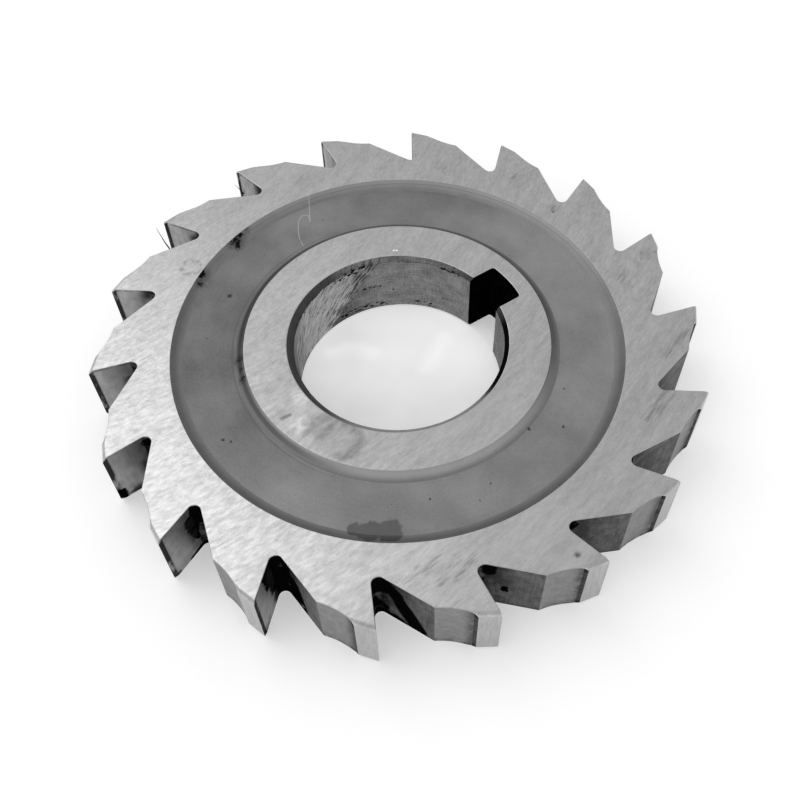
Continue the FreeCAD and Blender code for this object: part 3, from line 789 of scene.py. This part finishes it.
def add_wall(g):
    """The recess's two turned walls, each painted lighter towards one side, with painted shade
    near its foot and top.
    """
    clouds = g.noise(0.3, 4, shift=12)
    grain = g.noise(6.0, 3, shift=9)
    # Painted shade at the foot of the hub's wall, on the left
    foot = g.product(g.close(g.radius, 20.55, 0.5, 0.1), g.facing(150, 0.2, 0.8))
    on_hub = g.ramp(g.radius, 25.1, 24.9)
    # Painted light: the rim's wall lighter towards the far right, the hub's wall lighter towards
    # the near side
    rim_tone = g.total(0.14, g.product(g.facing(49, -0.1, 1.0), 0.17))
    hub_tone = g.total(0.12, g.product(g.facing(235, -0.1, 0.9), 0.28))
    # Painted shade by height: each wall fades to an even grey towards its foot and darkens a
    # little near its top
    base = g.cover(0.22, (g.ramp(g.height, 9.1, 9.7), g.cover(rim_tone, (on_hub, hub_tone))))
    # Painted shade: black along the top of the rim's wall on the near side
    lip = g.product(g.ramp(g.height, 9.86, 9.93), g.rest(on_hub), g.facing(245, 0.0, 0.8))
    score = g.product(g.close(g.radius, 28.95, 0.09, 0.03), g.facing(49, 0.0, 0.6))
    base = g.total(base, g.level(clouds, -0.01, 0.01), g.ramp(g.height, 9.85, 9.96, 0.0, -0.035),
                   g.ramp(grain, 0.25, 0.75, -0.015, 0.015))
    dark, bright = recess_marks(g)
    tone = g.product(base, g.rest(dark))
    tone = g.cover(tone, (g.product(foot, 0.7), 0.05), (g.product(score, 0.4), 0.12),
                   (bright, 0.5))
    g.steel(tone, g.product(lip, 0.75), 0.5, 0.45)
    g.bump(grain, 0.008)


def add_land(g):
    """The ground relief behind each cutting edge."""
    streaks = g.noise((2.6, 2.6, 0.35), 4)
    fine = g.noise((9, 9, 0.8), 2, shift=4)
    tone = g.total(g.level(streaks, 0.40, 0.48), g.level(fine, -0.03, 0.03))
    g.set(Base_Color=g.grey(tone), Metallic=1.0, Roughness=0.38)
    g.bump(g.total(streaks, fine), 0.01)


def soot(g):
    """Black, baked-on cutting oil in the gullets, with a few bare patches in it."""
    return g.product(g.ramp(g.trails(SOOT, 0.9, 1.1, 0.2), 1.0, 0.75),
                     g.ramp(g.noise(0.6, 2, shift=88), 0.24, 0.32))


def add_step(g):
    """The little step below the relief, painted dark for the shade on it, blackest at its corners.
    """
    dirt_and_shade = g.noise(1.3, 4, shift=3)
    ends = g.math("ABSOLUTE", g.math("SUBTRACT", g.height, 5.0))
    black = g.product(g.ramp(g.total(ends, dirt_and_shade), 3.9, 5.2), 0.9)
    g.steel(g.level(dirt_and_shade, 0.03, 0.09), black, 0.6, 0.5)
    g.bump(dirt_and_shade, 0.01)


def add_back(g):
    """The hollow-milled back: even grey, with painted shade along the step, darker towards the
    lower corner and black where the two meet.
    """
    clouds = g.noise(0.9, 4, shift=1)
    streaks = g.noise((3, 3, 0.4), 3, shift=7)
    grain = g.noise(5.0, 3, shift=2)
    # Painted shade along the step, mottled; the lower corner is darker too
    dirt_and_shade = g.product(g.ramp(g.radius, 38.3, 38.95), g.ramp(g.noise(0.8, 4, shift=15), 0.25, 0.55))
    low = g.product(g.ramp(g.height, 1.6, 0.2), g.ramp(g.noise(1.2, 3, shift=19), 0.42, 0.6))
    base = g.total(g.level(clouds, 0.25, 0.31), g.level(streaks, -0.012, 0.012),
                   g.level(grain, -0.02, 0.02))
    tone = g.cover(base, (g.product(dirt_and_shade, 0.8), 0.05), (g.product(low, 0.6), 0.03))
    g.steel(tone, g.product(dirt_and_shade, low, 0.9), 0.7, 0.46)
    g.bump(g.total(clouds, streaks), 0.012)


def add_flat(g):
    """The steep flat down into the gullet, mottled with dried coolant."""
    streaks = g.noise((3.6, 3.6, 0.4), 4, shift=5)
    spots = g.noise(2.5, 4, shift=12)
    clouds = g.noise(0.6, 3, shift=18)
    root = g.product(g.ramp(g.radius, 36.6, 34.0), g.ramp(g.noise(0.55, 4, shift=25), 0.38, 0.56))
    base = g.total(g.ramp(streaks, 0.32, 0.68, 0.10, 0.15), g.level(spots, -0.02, 0.02),
                   g.level(clouds, -0.03, 0.03))
    tone = g.cover(base, (g.product(root, 0.85), 0.02),
                   (g.product(g.ramp(g.height, 1.0, 0.2), 0.5), 0.03))
    g.steel(tone, soot(g), 0.7, 0.48)
    g.bump(g.total(streaks, spots), 0.015)


def add_gullet(g):
    """The gullet's root, nearly black with swarf and oil."""
    dirt_and_shade = g.noise(0.6, 4, shift=25)
    spots = g.noise(1.6, 3, shift=2)
    black = g.math("MAXIMUM", soot(g), g.product(g.ramp(dirt_and_shade, 0.44, 0.56), 0.85))
    g.steel(g.level(spots, 0.05, 0.10), black, 0.6, 0.5)
    g.bump(spots, 0.015)


def add_rake(g):
    """The rake face: ground across, darker to the root, with a dark line along the edge."""
    streaks = g.noise((3.2, 3.2, 0.4), 4, shift=11)
    clouds = g.noise(0.7, 4, shift=6)
    depth = g.ramp(g.radius, 39.0, 34.2)
    stains = g.product(g.ramp(g.radius, 36.8, 34.6), g.ramp(g.noise(0.35, 1, shift=31), 0.4, 0.62))
    low = g.product(g.ramp(g.height, 2.0, 0.2), g.ramp(g.noise(0.5, 3, shift=37), 0.45, 0.6))
    high = g.product(g.ramp(g.height, 9.4, 9.75), g.ramp(g.noise(0.7, 3, shift=39), 0.4, 0.6))
    worn = g.product(g.ramp(g.radius, 39.2, 39.45),
                     g.ramp(g.noise((1, 1, 0.3), 3, shift=43), 0.3, 0.5),
                     g.rest(g.product(g.facing(234, 0.95, 0.985), 0.75)))
    base = g.total(g.level(streaks, 0.35, 0.43), g.level(clouds, -0.05, 0.05))
    tone = g.cover(base, (g.product(depth, 0.5), 0.17), (g.product(stains, 0.7), 0.03),
                   (g.product(low, 0.6), 0.03))
    black = g.cover(soot(g), (stains, 0.85), (g.product(low, 0.8), 1.0),
                    (g.product(high, 0.5), 1.0), (g.product(worn, 0.9), 1.0))
    g.steel(tone, black, 0.8, 0.45)
    g.bump(g.total(streaks, clouds), 0.015)


def bore_marks(g):
    """The bore's scraped zone and its black pits, on the wall and up over the chamfer."""
    wall = g.unrolled(BORE_RADIUS)
    turn, height, _ = g.split(wall)
    clouds = g.noise((0.6, 0.8, 0), 4, wall, shift=9)

    # Places along and across the scores, which slant down from right to left
    along = g.math("SUBTRACT", g.product(turn, 0.69), g.product(height, 0.72))
    across = g.total(g.product(turn, 0.72), g.product(height, 0.69))
    slanted = g.join(along, across, 0.0)
    edge = g.total(across, g.product(clouds, 2.4))
    span = g.product(g.ramp(turn, 14.5, 17.0), g.ramp(turn, 36.5, 33.5))
    zone = g.product(span, g.ramp(edge, 18.7, 19.5))
    scores = g.noise((0.6, 3.2, 0), 5, slanted, roughness=0.62, shift=4)
    torn = g.total(scores, g.ramp(edge, 21.5, 19.0, 0.0, 0.09))
    tears = g.product(zone, g.ramp(torn, 0.57, 0.62))

    def band(middle, reach, *ends):
        """A row of pits at a height, which fades in and out at given lengths round the wall."""
        level = g.close(height, middle, reach, reach * 0.5)
        return g.product(level, g.ramp(turn, *ends[:2]), g.ramp(turn, *ends[2:]))

    rows = g.total(band(4.8, 0.3, 14.8, 15.6, 21.4, 20.6), band(9.1, 0.7, 17.6, 18.4, 24.5, 22.0),
                   band(9.4, 0.3, 3.4, 4.0, 9.0, 7.0),
                   band(1.0, 0.55, 15.0, 16.0, 24.0, 22.0), band(1.0, 0.5, 8.0, 8.6, 11.6, 11.0))
    dots = g.ramp(g.noise((1.5, 2.4, 0), 3, wall, shift=23), 0.50, 0.56)
    specks = g.ramp(g.noise((1.3, 1.9, 0), 3, wall, shift=31), 0.68, 0.73)
    pits = g.math("MAXIMUM", g.product(g.math("MINIMUM", rows, 1.0), dots), specks)
    return zone, scores, tears, pits


def bore_tone(g):
    """The tone of the bore's wall: fine lines round it, crossed by scratches."""
    wall = g.unrolled(BORE_RADIUS)
    lines = g.noise((0.3, 7.0, 0), 4, wall, shift=3)
    upright = g.noise((6.0, 0.6, 0), 4, wall, shift=17)
    clouds = g.noise((0.5, 0.7, 0), 4, wall, shift=9)
    grain = g.noise(9.0, 3, shift=14)
    zone, scores, tears, pits = bore_marks(g)
    hairs = g.close(g.noise((0.45, 5.0, 0), 3, wall, shift=57), 0.5, 0.02, 0.0)
    base = g.total(g.level(lines, 0.15, 0.27), g.level(clouds, -0.06, 0.03),
                   g.level(upright, -0.045, 0.045), g.level(grain, -0.09, 0.09),
                   g.product(hairs, -0.07), g.product(g.facing(35, 0.5, 0.9), 0.10),
                   g.ramp(g.split(wall)[0], 19.0, 23.0, 0.0, -0.07))
    bright = g.total(g.ramp(scores, 0.35, 0.6, 0.42, 0.25), g.level(grain, -0.09, 0.09),
                     g.level(clouds, -0.05, 0.05), g.product(g.facing(108, 0.88, 0.98), 0.2))
    black = g.math("MAXIMUM", g.product(tears, 0.7), pits)
    return g.cover(base, (zone, bright)), black, g.total(lines, scores, g.product(grain, 0.5))


def add_bore(g):
    """The bore's wall."""
    tone, black, relief = bore_tone(g)
    g.steel(tone, black, 0.6, 0.48)
    g.bump(relief, 0.02)


def add_chamfer(g):
    """The bore's chamfer, with painted light and shade: dark to the right and left, grey in front,
    else as the bore's wall.
    """
    grain = g.noise(6.0, 3)
    tone, black, relief = bore_tone(g)
    # Painted shade and light by the way the chamfer faces: dark to the left and right, grey in
    # front
    left, right, near = g.facing(150, 0.35, 0.65), g.facing(-30, 0.5, 0.8), g.facing(250, 0.6, 0.9)
    tone = g.cover(g.product(tone, 0.62), (left, 0.07), (right, 0.06), (near, 0.3))
    tone = g.total(tone, g.level(grain, -0.02, 0.02))
    bare = g.rest(g.math("MAXIMUM", left, near))
    # Painted shade: black at the far right
    black = g.math("MAXIMUM", g.product(black, bare), g.facing(-45, 0.85, 0.95))
    g.steel(tone, black, 0.6, 0.5)
    g.bump(relief, 0.012)


def add_keyway(g):
    """The keyway, nearly black all over."""
    grain = g.noise(3.0, 3)
    g.set(Base_Color=g.grey(g.ramp(grain, 0.4, 0.75, 0.001, 0.006)), Roughness=0.9,
          Specular_IOR_Level=0.0)


SURFACES = {
    "side": add_side, "wall": add_wall, "recess": add_recess_steel, "land": add_land,
    "step": add_step, "back": add_back, "flat": add_flat, "gullet": add_gullet,
    "rake": add_rake, "bore": add_bore, "chamfer": add_chamfer, "keyway": add_keyway,
}


def make_cutter():
    mesh = cutter_mesh(list(SURFACES))
    cutter = bpy.data.objects.new("cutter_body", mesh)
    bpy.context.collection.objects.link(cutter)
    for surface, dress in SURFACES.items():
        graph = Graph(f"steel_{surface}")
        dress(graph)
        mesh.materials.append(graph.material)
    normals = cutter.modifiers.new("weighted", "WEIGHTED_NORMAL")
    normals.keep_sharp = True
    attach(cutter, "root")
    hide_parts(NODE)


def make_floor():
    """A pale floor that looks white where nothing shades it."""
    mesh = bpy.data.meshes.new("floor")
    corners = [(x * FLOOR_REACH, y * FLOOR_REACH, -FLOOR_GAP * MM)
               for x, y in ((-1, -1), (1, -1), (1, 1), (-1, 1))]
    mesh.from_pydata(corners, [], [(0, 1, 2, 3)])
    floor = bpy.data.objects.new("floor", mesh)
    bpy.context.collection.objects.link(floor)

    # Inside the bore the glow is painted light: it evens out the shade there and adds the light
    # that the bore throws
    g = Graph("floor")
    up, right = g.along(PICTURE_UP), g.along(PICTURE_RIGHT)
    painted_bore_light = g.total(g.ramp(up, -5, 8, -0.165, -0.01), g.ramp(up, 7, 13, 0.0, 0.13),
                     g.ramp(right, -12, -6, 0.09, -0.01), g.ramp(right, 3, 10, 0.0, 0.06),
                     g.level(g.noise(0.13, 2), -0.02, 0.02),
                     g.product(g.strokes(BORE_LIGHT, 2.0, 0.0, 2.0, 0.2), 0.06))
    glow = g.total(g.product(painted_bore_light, g.ramp(g.radius, 14.4, 14.0)), FLOOR_GLOW)
    path = g.add("ShaderNodeLightPath")
    seen = g.math("MAXIMUM", path.outputs["Is Camera Ray"], path.outputs["Is Glossy Ray"])
    g.set(Base_Color=(FLOOR_TONE, FLOOR_TONE, FLOOR_TONE, 1), Roughness=1.0,
          Specular_IOR_Level=0.0, Emission_Color=(1, 1, 1, 1),
          Emission_Strength=g.product(seen, glow))
    mesh.materials.append(g.material)


def make_light(name, azimuth, elevation, distance, size, radiance):
    """A square softbox aimed at the cutter, of a given radiance on its face."""
    data = bpy.data.lights.new(name, "AREA")
    data.shape = "SQUARE"
    data.size = size * MM
    data.energy = radiance * math.pi * (size * MM) ** 2
    light = bpy.data.objects.new(name, data)
    bpy.context.collection.objects.link(light)
    ground = polar(distance * math.cos(math.radians(elevation)), azimuth)
    place = Vector((ground.x, ground.y, distance * math.sin(math.radians(elevation))))
    light.location = place * MM
    light.rotation_mode = "QUATERNION"
    light.rotation_quaternion = (-place).to_track_quat("-Z", "Y")


def make_world():
    """Even light from all round, which the camera sees as plain white."""
    world = bpy.data.worlds.new("studio")
    bpy.context.scene.world = world
    world.use_nodes = True
    tree = world.node_tree
    background = tree.nodes["Background"]
    path = tree.nodes.new("ShaderNodeLightPath")
    level = tree.nodes.new("ShaderNodeMapRange")
    level.inputs["To Min"].default_value = WORLD_LIGHT
    level.inputs["To Max"].default_value = 1.0
    tree.links.new(path.outputs["Is Camera Ray"], level.inputs["Value"])
    background.inputs["Color"].default_value = (1, 1, 1, 1)
    tree.links.new(level.outputs[0], background.inputs["Strength"])


def make_camera():
    data = bpy.data.cameras.new("camera")
    data.lens = CAMERA_LENS
    data.sensor_width = 36.0
    data.clip_start, data.clip_end = 0.005, 10.0
    camera = bpy.data.objects.new("camera", data)
    bpy.context.collection.objects.link(camera)
    camera.location = CAMERA_PLACE * MM
    look = (CAMERA_AIM - CAMERA_PLACE).to_track_quat("-Z", "Y").to_matrix()
    roll = Matrix.Rotation(math.radians(CAMERA_ROLL), 3, "Z")
    camera.rotation_mode = "QUATERNION"
    camera.rotation_quaternion = (look @ roll).to_quaternion()
    bpy.context.scene.camera = camera


def main():
    bpy.context.scene.view_settings.view_transform = "Standard"
    make_camera()
    make_world()
    make_light("key", **KEY_LIGHT)
    make_floor()
    make_cutter()


main()
